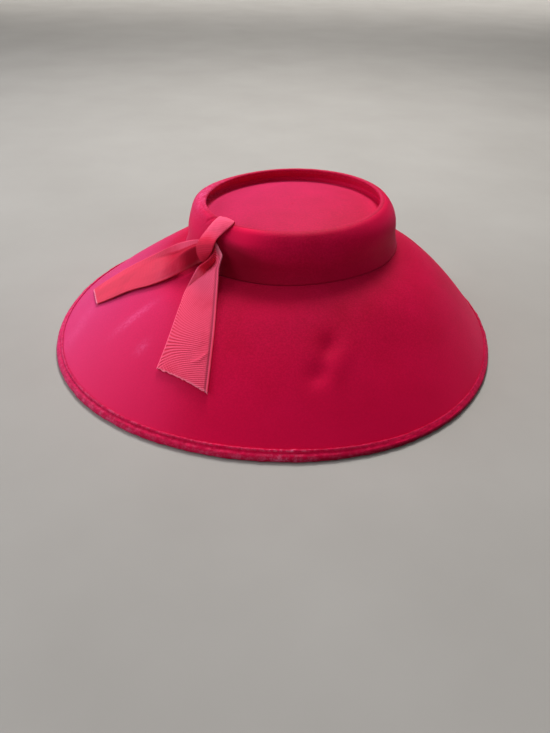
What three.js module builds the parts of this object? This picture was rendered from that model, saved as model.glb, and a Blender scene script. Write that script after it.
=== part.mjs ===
// A wide-brim felt hat: a low pillbox crown with a rolled rim and a sunken tip, a brim that droops like a
// mushroom cap, a bound edge, and a ribbon bow on the left of the crown.
// Millimetres, +Z up. The hat stands on its bound edge at z = 0, the origin is under the middle of the
// brim, and -Y is the front.
import * as THREE from "three";

// Cloth
const FELT = 2.4; // thickness of the felt
const RIBBON = 1.0; // thickness of the ribbon
const GAP = 0.3; // clearance between neighbouring pieces
const SEAT_GAP = 0.55; // clearance under the foot of the leaning crown

// Brim
const BRIM_RADIUS = 201.4; // mean radius of the outside of the bound edge
const EDGE_LOBES = [
  { lobes: 2, size: 0.8, heading: -78 },
  { lobes: 4, size: 2.1, heading: 38 },
]; // unevenness of that radius: number of bulges, their size, and the azimuth of one of them
const BRIM_HOLE = 91.2; // radius of the hole under the crown
const BRIM_RISE = 83.9; // height of the middle of the felt at the foot of the crown
const BRIM_CURVE = 0.54; // share of the fall that is curved at the front, where 0 is a straight cone
const BRIM_CURVE_RIGHT = 0.11; // more of that share on the right, less on the left
const BRIM_CURVE_BACK = 0.4; // less of that share at the back
const RIGHT_DIP = 2.6; // depth of the hollow of the brim against the right of the crown
const DIP_SHARE = 0.2; // share of the brim's width over which that hollow fades

// Bound edge
const BINDING = 1.1; // thickness of one layer of the binding
const BINDING_WIDTH = 5.2; // how far the binding reaches up the brim
const EDGE_ROUND = FELT / 2 + GAP + BINDING; // radius of the rounded edge
const EDGE_FLAT = 0.4; // how much of that round is pressed flat where the hat stands
const EDGE_RADIUS = BRIM_RADIUS - EDGE_ROUND; // mean end of the felt, inside the binding
const EDGE_HEIGHT = EDGE_ROUND - EDGE_FLAT;

// Crown, in its own frame: z = 0 at its foot
const CROWN_OFFSET = 13.2; // the crown stands this far right of the middle of the brim
const CROWN_LEAN = THREE.MathUtils.degToRad(2.2); // its right side stands higher
const CROWN_SHIFT = 1.6; // its crest stands this far right of its foot
const CROWN_RADIUS = 93.2; // outside of the foot
const COLLAR_RADIUS = 90; // outside of the upright side
const FOOT_FLARE = CROWN_RADIUS - COLLAR_RADIUS;
const FLARE_HEIGHT = 12; // where the flare of the foot ends
const CREST_RADIUS = 75.5; // top of the rim
const CREST_HEIGHT = 36.4;
const SHOULDER_ANGLE = THREE.MathUtils.degToRad(45); // where the round of the rim meets that of the side
const SHOULDER_ROUND = 8.6; // radius of the outside of the rim
const SHOULDER_RADIUS = CREST_RADIUS + SHOULDER_ROUND * Math.cos(SHOULDER_ANGLE);
const SIDE_ROUND = (COLLAR_RADIUS - SHOULDER_RADIUS) / (1 - Math.cos(SHOULDER_ANGLE)); // radius of the side
const CREST_ROUND = 1.4; // radius of the inside of the rim
const WELL_RADIUS = CREST_RADIUS - CREST_ROUND;
const WELL_DEPTH = 11; // from the crest to the edge of the tip
const UNDERCUT = 4; // how far the wall of the well leans back under the rim
const WELL_FILLET = 2.5;
const TIP_DOME = 5; // how much the tip rises to its middle

// Dents in the front of the brim: place in plan, half sizes along and across the heading, depth
const DENTS = [
  { name: "dimple", x: 40, y: -137, along: 8, across: 6, heading: 70, depth: 2.9 },
  { name: "lower dimple", x: 33, y: -154, along: 9, across: 6.5, heading: 30, depth: 2.5 },
  { name: "ridge beside them", x: 50, y: -146, along: 14, across: 6, heading: 62, depth: -1.3 },
  { name: "hollow right of the ridge", x: 88, y: -130, along: 26, across: 16, heading: 60, depth: 1.3 },
];
const DENT_AZIMUTH = THREE.MathUtils.degToRad(-77); // where the brim's stations crowd together
const DENT_CROWDING = 0.5;

// Unevenness of the crown's rim: place and spread round the crown, and lift, all fading to the foot
const RIM_WAVES = [
  { name: "high left side", azimuth: -165, spread: 34, lift: 0.5 },
  { name: "pull of the strap", azimuth: -131, spread: 12, lift: -0.6 },
];
const RIM_BULGE = { azimuth: 162, spread: 24, size: 3.8 }; // the shoulder is fuller here
const BULGE_BELOW = 3; // how far below the crest it is fullest
const BULGE_HEIGHT = 7; // how far up and down it fades
const BULGE_START = 4; // how far outside the crest it is full

// Strap of the bow, in the crown's frame, from the well over the rim and down to the knot.
// Each row is one section: azimuth, radius and height of its left and right edges, and the rise between them.
const STRAP_ROWS = [
  { part: "well", left: [-138.5, 72.7, 29], right: [-131, 72.7, 29], arch: 0.3 },
  { part: "inside the rim", left: [-139.2, 72.5, 34.4], right: [-129.6, 72.6, 34.6], arch: 0.4 },
  { part: "crest", left: [-140.2, 75.5, 37.9], right: [-127.9, 75.3, 37.9], arch: 0.8 },
  { part: "outside the crest", left: [-140.7, 81.1, 35.5], right: [-127.2, 77.6, 37.1], arch: 2.4 },
  { part: "shoulder", left: [-141, 85.5, 31.9], right: [-127.7, 82.4, 35.2], arch: 1.8 },
  { part: "side", left: [-141.9, 89.4, 27.4], right: [-129.3, 86.8, 31.8], arch: 1.5 },
  { part: "off the side", left: [-142, 93.9, 23], right: [-130.3, 91.5, 28.1], arch: 1.6 },
  { part: "over the knot", left: [-141.4, 97.8, 18.5], right: [-129.8, 95.4, 24.9], arch: 2 },
  { part: "knot", left: [-139.8, 99.3, 14.5], right: [-129.8, 97.8, 21.1], arch: 1.6 },
  { part: "below the knot", left: [-138.3, 99.2, 10.9], right: [-131.4, 98.1, 16.6], arch: 0.8 },
  { part: "under", left: [-136.8, 98.2, 8.2], right: [-133.8, 97.4, 11.1], arch: 0.3 },
  { part: "tucked", left: [-136.4, 96.6, 6.6], right: [-135.2, 96.4, 7.3], arch: 0.1 },
];

// Tails of the bow: lines along each tail from the knot to its cut end, with places as x, y and height above
// the felt, and the number of facets from each line to the next.
const LEFT_TAIL = [
  {
    line: "front edge",
    facets: 2,
    places: [
      [-56.9, -61.5, 7], [-63.4, -58.3, 4.5], [-70.7, -60.5, 4], [-78.9, -62, 3.6], [-89.4, -62.3, 3.2],
      [-103.7, -59.5, 2.8], [-123.1, -51.9, 2.8], [-142.7, -45.5, 2.4], [-157.3, -37.8, 1.8],
    ],
  },
  {
    line: "ridge",
    facets: 2,
    places: [
      [-57.4, -61.9, 20], [-63.1, -59.2, 20.3], [-71.5, -58.2, 18.5], [-80, -57.3, 14.5], [-91.4, -54, 9],
      [-107.6, -47.5, 5.2], [-128.3, -37.6, 3.4], [-148.1, -30.2, 2.6], [-161.2, -26.3, 1.9],
    ],
  },
  {
    line: "valley",
    facets: 2,
    places: [
      [-57, -58, 18.5], [-63.4, -53.8, 18], [-72.5, -50, 15], [-82, -40.9, 9.5], [-94.2, -30.6, 6],
      [-111.8, -26.4, 4.4], [-132.8, -20.5, 3.4], [-153, -13.9, 2.6], [-165.8, -12.5, 2],
    ],
  },
  {
    line: "back edge",
    facets: 1,
    places: [
      [-56.7, -56.2, 21], [-63.7, -51.7, 21], [-73.2, -45.6, 19], [-83.1, -36.4, 15], [-95.8, -27, 10.5],
      [-114, -18.3, 7], [-137.1, -6.9, 4.6], [-158.5, 1.9, 3], [-171.7, 5.5, 2.2],
    ],
  },
];
const FRONT_TAIL = [
  {
    line: "right edge",
    facets: 4,
    places: [
      [-47.2, -64.9, 23.5], [-44.1, -70.8, 21.3], [-41.4, -76.2, 19], [-42.6, -79.7, 16.5],
      [-43.7, -83.3, 13.2], [-43.7, -90, 9.5], [-43.8, -97.8, 5.8], [-43.9, -106.8, 3],
      [-44.2, -126.6, 1.3], [-45.5, -149.5, 1.6], [-46.7, -165, 2.6],
    ],
  },
  {
    line: "fold",
    facets: 2,
    places: [
      [-47.8, -65.3, 22.5], [-47, -73.3, 21.5], [-47, -74.3, 16.5], [-48.7, -71.6, 9],
      [-56.4, -74, 4.6], [-64.3, -77.8, 2.8], [-69.5, -81.5, 1.8], [-72.4, -94, 1.4],
      [-77, -117.5, 1], [-81.8, -133.1, 1.2], [-84.9, -141.3, 1.8],
    ],
  },
  {
    line: "left edge",
    facets: 1,
    places: [
      [-49, -66.3, 22], [-48.6, -74, 20.5], [-52.2, -75.7, 18], [-56.6, -77.3, 16.5],
      [-61.5, -73.9, 11.8], [-65.8, -76.1, 6.8], [-70.5, -81.5, 2.2], [-74, -95.6, 1.3],
      [-79.4, -116.6, 1], [-84.3, -131.8, 1.2], [-87.2, -139.6, 1.8],
    ],
  },
];

// How finely the shapes are faceted
const BRIM_STATIONS = 84;
const HOLE_SHARE = (BRIM_HOLE - CROWN_RADIUS) / (EDGE_RADIUS - CROWN_RADIUS);
const BRIM_SHARES = [HOLE_SHARE, 0.09, 0.2, 0.3, 0.39, 0.47, 0.54, 0.62, 0.72, 0.83, 0.93, 1];
const CROWN_STATIONS = 66;
const FLARE_PARTS = [0, 0.35, 0.7];
const ROW_STEPS = 2; // facets along a ribbon from each row of its table to the next
const STRAP_SHARES = [0, 0.25, 0.5, 0.75, 1];
const FELT_PASSES = 4; // passes of the search for a place on the brim
const SLOPE_STEP = 1e-3; // small step along a surface that gives its slope

const { clamp, degToRad, lerp, smoothstep } = THREE.MathUtils;

// Depth of all the dents at a place in plan
function dentDepth(x, y) {
  let depth = 0;
  for (const dent of DENTS) {
    const turn = degToRad(dent.heading);
    const u = (x - dent.x) * Math.cos(turn) + (y - dent.y) * Math.sin(turn);
    const v = (y - dent.y) * Math.cos(turn) - (x - dent.x) * Math.sin(turn);
    depth += dent.depth * Math.exp(-((u / dent.along) ** 2) - (v / dent.across) ** 2);
  }
  return depth;
}

// Radius of the end of the brim's felt at an azimuth
function edgeRadius(azimuth) {
  let radius = EDGE_RADIUS;
  for (const { lobes, size, heading } of EDGE_LOBES) {
    radius += size * Math.cos(lobes * (azimuth - degToRad(heading)));
  }
  return radius;
}

// Depth of the hollow against the foot of the crown
function rightDip(azimuth) {
  return RIGHT_DIP * Math.max(Math.cos(azimuth), 0) ** 2;
}

// Middle of the brim's felt: share 0 is the foot of the crown, 1 is the edge
function brimMiddle(azimuth, share) {
  const radius = lerp(CROWN_RADIUS, edgeRadius(azimuth), share);
  const x = (1 - share) * CROWN_OFFSET + radius * Math.cos(azimuth);
  const y = radius * Math.sin(azimuth);
  const top = BRIM_RISE + CROWN_RADIUS * Math.sin(CROWN_LEAN) * Math.cos(azimuth);
  const back = (1 + Math.sin(azimuth)) / 2;
  const curve = BRIM_CURVE + BRIM_CURVE_RIGHT * Math.cos(azimuth) - BRIM_CURVE_BACK * back;
  const fall = (1 - curve) * share + curve * share * share;
  const dip = rightDip(azimuth) * Math.exp(-((share / DIP_SHARE) ** 2));
  return new THREE.Vector3(x, y, lerp(top, EDGE_HEIGHT, fall) - dentDepth(x, y) - dip);
}

function brimNormal(azimuth, share) {
  const outward = brimMiddle(azimuth, share + SLOPE_STEP).sub(brimMiddle(azimuth, share - SLOPE_STEP));
  const round = brimMiddle(azimuth + SLOPE_STEP, share).sub(brimMiddle(azimuth - SLOPE_STEP, share));
  return outward.cross(round).normalize();
}

// A point at a distance off the middle of the brim's felt
function offBrim(azimuth, share, distance) {
  return brimMiddle(azimuth, share).addScaledVector(brimNormal(azimuth, share), distance);
}

// Height of the brim's upper face over a place in plan
function feltHeight(x, y) {
  const east = x - CROWN_OFFSET;
  let azimuth = Math.atan2(y, east);
  let share = 0;
  for (let pass = 0; pass < FELT_PASSES; pass++) {
    const reach = edgeRadius(azimuth) - CROWN_RADIUS;
    const a = CROWN_OFFSET ** 2 - reach ** 2;
    const b = 2 * (east * CROWN_OFFSET - CROWN_RADIUS * reach);
    const c = east ** 2 + y ** 2 - CROWN_RADIUS ** 2;
    share = (-b - Math.sqrt(b * b - 4 * a * c)) / (2 * a);
    azimuth = Math.atan2(y, east + share * CROWN_OFFSET);
  }
  return brimMiddle(azimuth, share).z + FELT / 2 / brimNormal(azimuth, share).z;
}

function geometryOf(points, triangles) {
  const geometry = new THREE.BufferGeometry().setFromPoints(points);
  geometry.setIndex(triangles);
  geometry.computeVertexNormals();
  return geometry;
}

// Closed wall between two faces, each a grid of points with columns[i][j]
function wallBetween(upper, lower, ringed) {
  const columns = upper.length;
  const rows = upper[0].length;
  const points = [...upper.flat(), ...lower.flat()];
  const triangles = [];
  const top = (i, j) => (i % columns) * rows + j;
  const under = (i, j) => columns * rows + top(i, j);
  const quad = (a, b, c, d) => triangles.push(a, b, c, a, c, d);
  const spans = ringed ? columns : columns - 1;
  for (let i = 0; i < spans; i++) {
    for (let j = 0; j < rows - 1; j++) {
      quad(top(i, j), top(i, j + 1), top(i + 1, j + 1), top(i + 1, j));
      quad(under(i, j), under(i + 1, j), under(i + 1, j + 1), under(i, j + 1));
    }
    const last = rows - 1;
    quad(top(i, last), under(i, last), under(i + 1, last), top(i + 1, last));
    quad(top(i, 0), top(i + 1, 0), under(i + 1, 0), under(i, 0));
  }
  for (let j = 0; j < rows - 1 && !ringed; j++) {
    const end = columns - 1;
    quad(top(0, j), under(0, j), under(0, j + 1), top(0, j + 1));
    quad(top(end, j), top(end, j + 1), under(end, j + 1), under(end, j));
  }
  return geometryOf(points, triangles);
}

// Closed ring through a list of closed sections with the same number of points
function ringThrough(sections) {
  const count = sections[0].length;
  const triangles = [];
  sections.forEach((section, i) => {
    const next = ((i + 1) % sections.length) * count;
    for (let k = 0; k < count; k++) {
      const after = (k + 1) % count;
      triangles.push(i * count + k, i * count + after, next + after);
      triangles.push(i * count + k, next + after, next + k);
    }
  });
  return geometryOf(sections.flat(), triangles);
}

// Azimuths of the brim's stations, closer together near the dents
const brimAzimuths = Array.from({ length: BRIM_STATIONS }, (_, i) => {
  const even = (i / BRIM_STATIONS) * Math.PI * 2;
  return even - DENT_CROWDING * Math.sin(even - DENT_AZIMUTH);
});

function brimGeometry() {
  const face = (side) =>
    brimAzimuths.map((azimuth) => BRIM_SHARES.map((share) => offBrim(azimuth, share, (side * FELT) / 2)));
  return wallBetween(face(1), face(-1), true);
}

// Section of the binding: a folded strip round the felt's edge, flat where it stands
function bindingSection(azimuth) {
  const slot = FELT / 2 + GAP;
  const share = 1 - BINDING_WIDTH / brimMiddle(azimuth, 0).distanceTo(brimMiddle(azimuth, 1));
  const end = brimMiddle(azimuth, 1);
  const normal = brimNormal(azimuth, 1);
  const outward = new THREE.Vector3(Math.cos(azimuth), Math.sin(azimuth), 0);
  const slope = Math.atan2(normal.dot(outward), normal.z);
  const roundPoint = (angle) =>
    end
      .clone()
      .addScaledVector(outward, EDGE_ROUND * Math.cos(angle))
      .setZ(EDGE_HEIGHT + EDGE_ROUND * Math.sin(angle));
  const flatHalf = Math.acos(EDGE_HEIGHT / EDGE_ROUND);
  const start = Math.PI / 2 - slope;
  const flatStart = -Math.PI / 2 + flatHalf;
  const round = [0, 1 / 3, 2 / 3, 1].map((part) => roundPoint(lerp(start, flatStart, part)));
  const down = new THREE.Vector3(-normal.z * outward.x, -normal.z * outward.y, Math.sin(slope)).negate();
  const slotEnd = (side) => end.clone().addScaledVector(down, GAP).addScaledVector(normal, side * slot);
  return [
    offBrim(azimuth, share, slot + BINDING),
    ...round,
    roundPoint(-Math.PI / 2 - flatHalf),
    roundPoint(start - Math.PI),
    offBrim(azimuth, share, -slot - BINDING),
    offBrim(azimuth, share, -slot),
    slotEnd(-1),
    slotEnd(1),
    offBrim(azimuth, share, slot),
  ];
}

function bindingGeometry() {
  return ringThrough(brimAzimuths.map(bindingSection));
}

// Points of a round stretch of the crown's profile
function arcPoints(x, y, radius, from, to, steps) {
  return Array.from({ length: steps + 1 }, (_, i) => {
    const angle = lerp(from, to, i / steps);
    return new THREE.Vector2(x + radius * Math.cos(angle), y + radius * Math.sin(angle));
  });
}

// One face of the crown's felt from the foot to the axis, moved into the felt by an inset.
// The inside of the rim is sharper than the felt is thick, so the inner face has a crease there.
function crownFace(inset, steps) {
  const footHeight = inset * Math.tan(brimSlopeAtFoot);
  const collar = FLARE_PARTS.map((part) => {
    const height = lerp(footHeight, FLARE_HEIGHT, part);
    const flare = FOOT_FLARE * (1 - height / FLARE_HEIGHT) ** 2;
    return new THREE.Vector2(COLLAR_RADIUS - inset + flare, height);
  });
  const half = Math.PI / 2;
  const shoulder = SHOULDER_ROUND - inset;
  const shoulderY = CREST_HEIGHT - SHOULDER_ROUND;
  const sideY = shoulderY + (SHOULDER_ROUND - SIDE_ROUND) * Math.sin(SHOULDER_ANGLE);
  const shoulderEnd = Math.acos(Math.max(WELL_RADIUS + inset - CREST_RADIUS, 0) / shoulder);
  const crestY = CREST_HEIGHT - CREST_ROUND;
  const crestRound = CREST_ROUND - inset;
  const crest = crestRound > 0 ? arcPoints(CREST_RADIUS, crestY, crestRound, half, Math.PI, 2) : [];
  const floor = CREST_HEIGHT - WELL_DEPTH;
  const filletX = WELL_RADIUS + UNDERCUT - WELL_FILLET;
  const tip = Array.from({ length: steps }, (_, i) => {
    const share = (i + 1) / steps;
    const rise = TIP_DOME * (1 - (1 - share) ** 2);
    return new THREE.Vector2(filletX * (1 - share), floor - inset + rise);
  });
  return [
    ...collar,
    ...arcPoints(COLLAR_RADIUS - SIDE_ROUND, sideY, SIDE_ROUND - inset, 0, SHOULDER_ANGLE, steps),
    ...arcPoints(CREST_RADIUS, shoulderY, shoulder, SHOULDER_ANGLE, shoulderEnd, steps - 1).slice(1),
    ...crest.slice(1),
    ...arcPoints(filletX, floor + WELL_FILLET, WELL_FILLET + inset, 0, -half, 2),
    ...tip,
  ];
}

const footNormal = brimNormal(Math.PI / 2, 0);
const brimSlopeAtFoot = Math.atan2(footNormal.y, footNormal.z);

function crownGeometry() {
  const profile = [...crownFace(FELT, 3).reverse(), ...crownFace(0, 4)];
  const geometry = new THREE.LatheGeometry(profile, CROWN_STATIONS).rotateX(Math.PI / 2);
  const places = geometry.getAttribute("position");
  for (let i = 0; i < places.count; i++) {
    const { x, y, z } = new THREE.Vector3().fromBufferAttribute(places, i);
    const azimuth = Math.atan2(y, x);
    const radius = Math.hypot(x, y);
    const wide = radius + bulgeSize(azimuth, radius, z);
    const settled = rightDip(azimuth) * Math.max(1 - z / FLARE_HEIGHT, 0) ** 2;
    const height = z + rimLift(azimuth, radius, z) - settled;
    places.setXYZ(i, wide * Math.cos(azimuth), wide * Math.sin(azimuth), height);
  }
  geometry.computeVertexNormals();
  return geometry;
}

// 1 at a place round the crown, fading with the spread
function nearPlace(azimuth, place) {
  const turn = azimuth - degToRad(place.azimuth);
  const apart = Math.atan2(Math.sin(turn), Math.cos(turn));
  return Math.exp(-((apart / degToRad(place.spread)) ** 2));
}

// Lift of the uneven rim, none at the foot and none towards the middle of the tip
function rimLift(azimuth, radius, height) {
  const fade = (height / CREST_HEIGHT) * smoothstep(radius, WELL_RADIUS / 2, WELL_RADIUS);
  return RIM_WAVES.reduce((lift, wave) => lift + wave.lift * nearPlace(azimuth, wave), 0) * fade;
}

// How far the fuller shoulder stands out
function bulgeSize(azimuth, radius, height) {
  const level = Math.exp(-(((height - CREST_HEIGHT + BULGE_BELOW) / BULGE_HEIGHT) ** 2));
  const outside = clamp((radius - CREST_RADIUS) / BULGE_START, 0, 1);
  return RIM_BULGE.size * nearPlace(azimuth, RIM_BULGE) * level * outside;
}

// The two faces of a ribbon whose middle is a grid of points
function ribbonWall(middle) {
  const columns = middle.length;
  const rows = middle[0].length;
  const at = (i, j) => middle[Math.min(Math.max(i, 0), columns - 1)][Math.min(Math.max(j, 0), rows - 1)];
  const face = (side) =>
    middle.map((column, i) =>
      column.map((point, j) => {
        const along = at(i + 1, j).clone().sub(at(i - 1, j));
        const across = at(i, j + 1).clone().sub(at(i, j - 1));
        const normal = across.cross(along).normalize();
        return point.clone().addScaledVector(normal, (side * RIBBON) / 2);
      }),
    );
  return wallBetween(face(1), face(-1), false);
}

function curveThrough(places) {
  return new THREE.CatmullRomCurve3(places.map((place) => new THREE.Vector3(...place)));
}

// A tail of ribbon over the felt, stretched between its lines
function tailGeometry(lines) {
  const curves = lines.map(({ places }) => curveThrough(places));
  const onFelt = (place) => place.setZ(place.z + feltHeight(place.x, place.y));
  const steps = ROW_STEPS * (lines[0].places.length - 1);
  const middle = Array.from({ length: steps + 1 }, (_, i) => {
    const section = curves.map((curve) => curve.getPoint(i / steps));
    return lines.flatMap(({ facets }, k) => {
      const next = section[k + 1] ?? section[k];
      return Array.from({ length: facets }, (_, j) => onFelt(section[k].clone().lerp(next, j / facets)));
    });
  });
  return ribbonWall(middle);
}

function strapGeometry() {
  const zUp = ([azimuth, radius, height]) => {
    const turn = degToRad(azimuth);
    return [radius * Math.cos(turn), radius * Math.sin(turn), height];
  };
  const leftEdge = curveThrough(STRAP_ROWS.map((row) => zUp(row.left)));
  const rightEdge = curveThrough(STRAP_ROWS.map((row) => zUp(row.right)));
  const spans = STRAP_ROWS.length - 1;
  const middle = Array.from({ length: ROW_STEPS * spans + 1 }, (_, i) => {
    const row = Math.min(Math.floor(i / ROW_STEPS), spans - 1);
    const rise = lerp(STRAP_ROWS[row].arch, STRAP_ROWS[row + 1].arch, i / ROW_STEPS - row);
    const along = i / (ROW_STEPS * spans);
    const left = leftEdge.getPoint(along);
    const right = rightEdge.getPoint(along);
    const run = leftEdge.getTangent(along).add(rightEdge.getTangent(along));
    const up = run.cross(right.clone().sub(left)).normalize();
    return STRAP_SHARES.map((share) => {
      const arch = rise * 4 * share * (1 - share);
      return left.clone().lerp(right, share).addScaledVector(up, arch);
    });
  });
  return ribbonWall(middle);
}

const felt = { color: 0xc41546, roughness: 0.95, metalness: 0 };
const ribbon = { color: 0xd8405f, roughness: 0.75, metalness: 0 };

function piece(name, geometry, finish) {
  const mesh = new THREE.Mesh(geometry, new THREE.MeshStandardMaterial(finish));
  mesh.name = name;
  return mesh;
}

const crownShear = new THREE.Matrix4().makeShear(0, 0, 0, 0, CROWN_SHIFT / CREST_HEIGHT, 0);
const crownGroup = new THREE.Group();
crownGroup.position.set(CROWN_OFFSET, 0, feltHeight(CROWN_OFFSET, CROWN_RADIUS) + SEAT_GAP);
crownGroup.rotation.y = -CROWN_LEAN;
crownGroup.add(piece("crown", crownGeometry().applyMatrix4(crownShear), felt));
crownGroup.add(piece("bow_loop", strapGeometry().applyMatrix4(crownShear), ribbon));

const hat = new THREE.Group();
hat.add(crownGroup);
hat.add(piece("brim", brimGeometry(), felt));
hat.add(piece("edge_binding", bindingGeometry(), { ...felt, color: 0xcc2a5c }));
hat.add(piece("bow_tail_left", tailGeometry(LEFT_TAIL), ribbon));
hat.add(piece("bow_tail_front", tailGeometry(FRONT_TAIL), ribbon));

export default hat;
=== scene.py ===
import math

import bpy
import numpy as np
from mathutils import Matrix, Vector


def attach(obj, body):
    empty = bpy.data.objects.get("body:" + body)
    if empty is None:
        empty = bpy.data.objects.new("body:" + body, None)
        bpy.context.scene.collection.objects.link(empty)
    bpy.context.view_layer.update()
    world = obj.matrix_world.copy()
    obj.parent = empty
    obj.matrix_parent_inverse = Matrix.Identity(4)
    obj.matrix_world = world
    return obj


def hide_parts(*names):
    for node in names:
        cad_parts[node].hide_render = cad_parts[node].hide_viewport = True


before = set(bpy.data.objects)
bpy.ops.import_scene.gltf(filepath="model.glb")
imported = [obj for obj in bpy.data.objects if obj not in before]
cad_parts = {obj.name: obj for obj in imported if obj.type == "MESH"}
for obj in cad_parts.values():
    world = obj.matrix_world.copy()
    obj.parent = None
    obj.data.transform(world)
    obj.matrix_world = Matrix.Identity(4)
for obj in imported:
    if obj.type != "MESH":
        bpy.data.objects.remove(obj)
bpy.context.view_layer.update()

# A wide-brim velour felt hat with a grosgrain bow, standing on its bound edge.
# Sizes are in millimetres, as in the part's source, and become metres when a mesh is made.
MM = 0.001

# Cloth
FELT = 2.4  # thickness of the felt
RIBBON = 0.7  # thickness of the ribbon
GAP = 0.3  # slot between the binding and the felt

# Brim
BRIM_RADIUS = 201.4  # mean radius of the outside of the bound edge
EDGE_LOBES = [(2, 0.8, -78), (4, 2.1, 38)]  # bulges of that radius: number, size, azimuth of one
BRIM_HOLE = 91.2
BRIM_RISE = 83.9  # height of the middle of the felt at the foot of the crown
BRIM_CURVE = 0.54  # share of the fall that is curved at the front
BRIM_CURVE_RIGHT = 0.11  # more of it on the right
BRIM_CURVE_BACK = 0.4  # less of it at the back
RIGHT_DIP = 2.6  # hollow of the brim against the right of the crown
DIP_SHARE = 0.2  # how far out it reaches
# Slow unevenness of the felt: heading, length, height and phase of each wave
BRIM_DRIFT = [(20, 118, 0.2, 0.4), (95, 86, 0.16, 2.1), (150, 61, 0.1, 4.0)]

# Bound edge
BINDING = 1.1  # thickness of one layer
BINDING_WIDTH = 5.2  # how far it reaches up the brim
EDGE_ROUND = FELT / 2 + GAP + BINDING
EDGE_FLAT = 0.4  # how much of the round is pressed flat where the hat stands
EDGE_RADIUS = BRIM_RADIUS - EDGE_ROUND
EDGE_HEIGHT = EDGE_ROUND - EDGE_FLAT
STITCH_PITCH = 4.2
PLAIN_PLACE = 10  # azimuth of the middle of the part without a groove
PLAIN_SPREAD = 70
PLAIN_FADE = 25  # how far past it the groove deepens
PLAIN_NARROWER = 1.5  # the binding is this much narrower there

# Crown, in its own frame: z = 0 at its foot
CROWN_OFFSET = 13.2
CROWN_LEAN = math.radians(2.2)
CROWN_SHIFT = 1.6  # the crest stands this far right of the foot
CROWN_RADIUS = 93.2  # at the foot
COLLAR_RADIUS = 90.0  # the upright side above it
FOOT_FLARE = CROWN_RADIUS - COLLAR_RADIUS
FLARE_HEIGHT = 12.0
CREST_RADIUS = 75.5  # the top of the rim
CREST_HEIGHT = 36.4
SHOULDER_ANGLE = math.radians(45)  # where the round of the rim meets the wider round of the side
SHOULDER_ROUND = 8.6
SIDE_ROUND = (COLLAR_RADIUS - CREST_RADIUS - SHOULDER_ROUND * math.cos(SHOULDER_ANGLE)) / (
    1 - math.cos(SHOULDER_ANGLE))
CREST_ROUND = 1.4  # the inside of the rim
WELL_RADIUS = CREST_RADIUS - CREST_ROUND
WELL_DEPTH = 11.0
UNDERCUT = 4.0  # how far the wall of the well leans back under the rim
WELL_FILLET = 2.5
TIP_DOME = 5.0
SEAT_GAP = 0.08  # the foot of the crown over the brim
CROWN_SET = 0.55  # height of the crown's frame over the felt at its back
RIM_WAVES = [(0.5, -165, 34), (-0.6, -131, 12)]  # lift, azimuth and spread of the uneven rim
RIM_BULGES = [(3.8, 162, 24)]  # size, azimuth and spread of fuller places of the shoulder
BULGE_BELOW = 3.0  # how far below the crest they are fullest
BULGE_HEIGHT = 7.0  # how far up and down they fade
BULGE_START = 4.0  # how far outside the crest they are full

# Crease beside the strap: azimuth and radius of both ends, half width in degrees, depth
TUCK = ((-146.5, 82.0), (-143.6, 76.5), 0.9, 1.1)
TUCK_FADE = 2.0

# Dents in the front of the brim: x, y, half sizes along and across the heading, heading, depth
DENTS = [
    (40, -137, 8, 6, 70, 2.9),
    (33, -154, 9, 6.5, 30, 2.5),
    (50, -146, 14, 6, 62, -1.3),
    (88, -130, 26, 16, 60, 1.3),
]

# Rub marks on the velour: x, y, half sizes along and across the heading, heading, strength
RUB_MARKS = [
    (-114, -86, 16, 4, 20, 0.55),
    (-102, -118, 6, 4, 30, 0.35),
    (-171, -52, 26, 9, 68, 0.3),
]

# Strap of the bow in the crown's frame, from inside the rim to the knot
# Each row: azimuth, radius and height of its left edge, of its right edge, and its arch
STRAP_ROWS = [
    ((-138.5, 72.7, 29.0), (-131.0, 72.7, 29.0), 0.3),
    ((-139.2, 72.5, 34.4), (-129.6, 72.6, 34.6), 0.4),
    ((-140.2, 75.5, 37.9), (-127.9, 75.3, 37.9), 0.8),
    ((-140.7, 81.1, 35.5), (-127.2, 77.6, 37.1), 2.4),
    ((-141.0, 85.5, 31.9), (-127.7, 82.4, 35.2), 1.8),
    ((-141.9, 89.4, 27.4), (-129.3, 86.8, 31.8), 1.5),
    ((-142.0, 93.9, 23.0), (-130.3, 91.5, 28.1), 1.6),
    ((-141.4, 97.8, 18.5), (-129.8, 95.4, 24.9), 2.0),
    ((-139.8, 99.3, 14.5), (-129.8, 97.8, 21.1), 1.6),
    ((-138.3, 99.2, 10.9), (-131.4, 98.1, 16.6), 0.8),
    ((-136.8, 98.2, 8.2), (-133.8, 97.4, 11.1), 0.3),
    ((-136.4, 96.6, 6.6), (-135.2, 96.4, 7.3), 0.1),
]

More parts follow.
